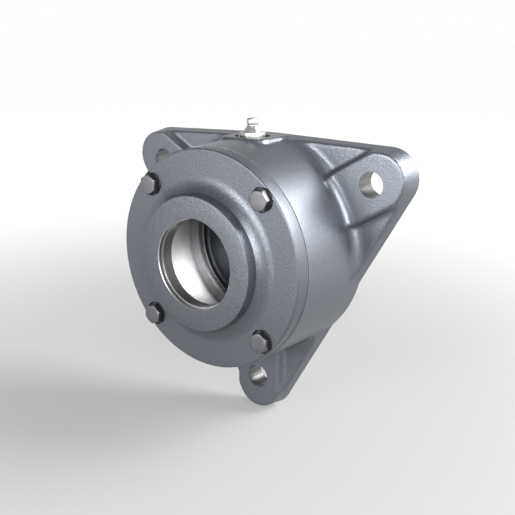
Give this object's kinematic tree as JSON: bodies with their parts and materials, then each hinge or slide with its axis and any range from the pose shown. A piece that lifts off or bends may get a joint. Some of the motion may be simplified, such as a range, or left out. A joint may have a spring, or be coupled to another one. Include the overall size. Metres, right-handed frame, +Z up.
{
  "type": "flanged bearing housing",
  "caption": "Flange bearing unit: cast-iron housing with a rounded triangular flange, bolted round front cover, grease nipple and an open stepped seat for a rolling bearing.",
  "frame": {"origin": "centre of the mounting face, on the shaft axis", "axes": "+Y along the shaft axis out of the mounting face, so the front cover faces -Y; +Z up through the grease nipple; +X across"},
  "size_m": [0.1862, 0.07, 0.1771],
  "materials": {
    "housing_iron": "fine cast surface, machined seat and bores",
    "cover_iron": "fine cast surface, machined bore",
    "gasket_fibre": "pressed fibre sheet",
    "screw_steel": "smooth, satin",
    "washer_steel": "satin",
    "nipple_zinc": "bright zinc plate",
    "ball_steel": "polished",
    "spring_steel": "drawn wire"
  },
  "bodies": {
    "unit": {"housing": "housing_iron", "front_cover": "cover_iron", "cover_gasket": "gasket_fibre", "cover_screw_upper_right": "screw_steel", "cover_screw_upper_left": "screw_steel", "cover_screw_lower_left": "screw_steel", "cover_screw_lower_right": "screw_steel", "lock_washer_upper_right": "washer_steel", "lock_washer_upper_left": "washer_steel", "lock_washer_lower_left": "washer_steel", "lock_washer_lower_right": "washer_steel", "grease_nipple": "nipple_zinc", "nipple_spring": "spring_steel"},
    "ball": {"nipple_ball": "ball_steel"}
  },
  "joints": [
    {"name": "ball_valve", "type": "slide", "parent": "unit", "child": "ball", "axis": [0, 0, -1], "range_m": [0, 0.001], "stiffness_N_per_m": 300, "springref_m": -0.002, "deforming": ["nipple_spring"]}
  ]
}
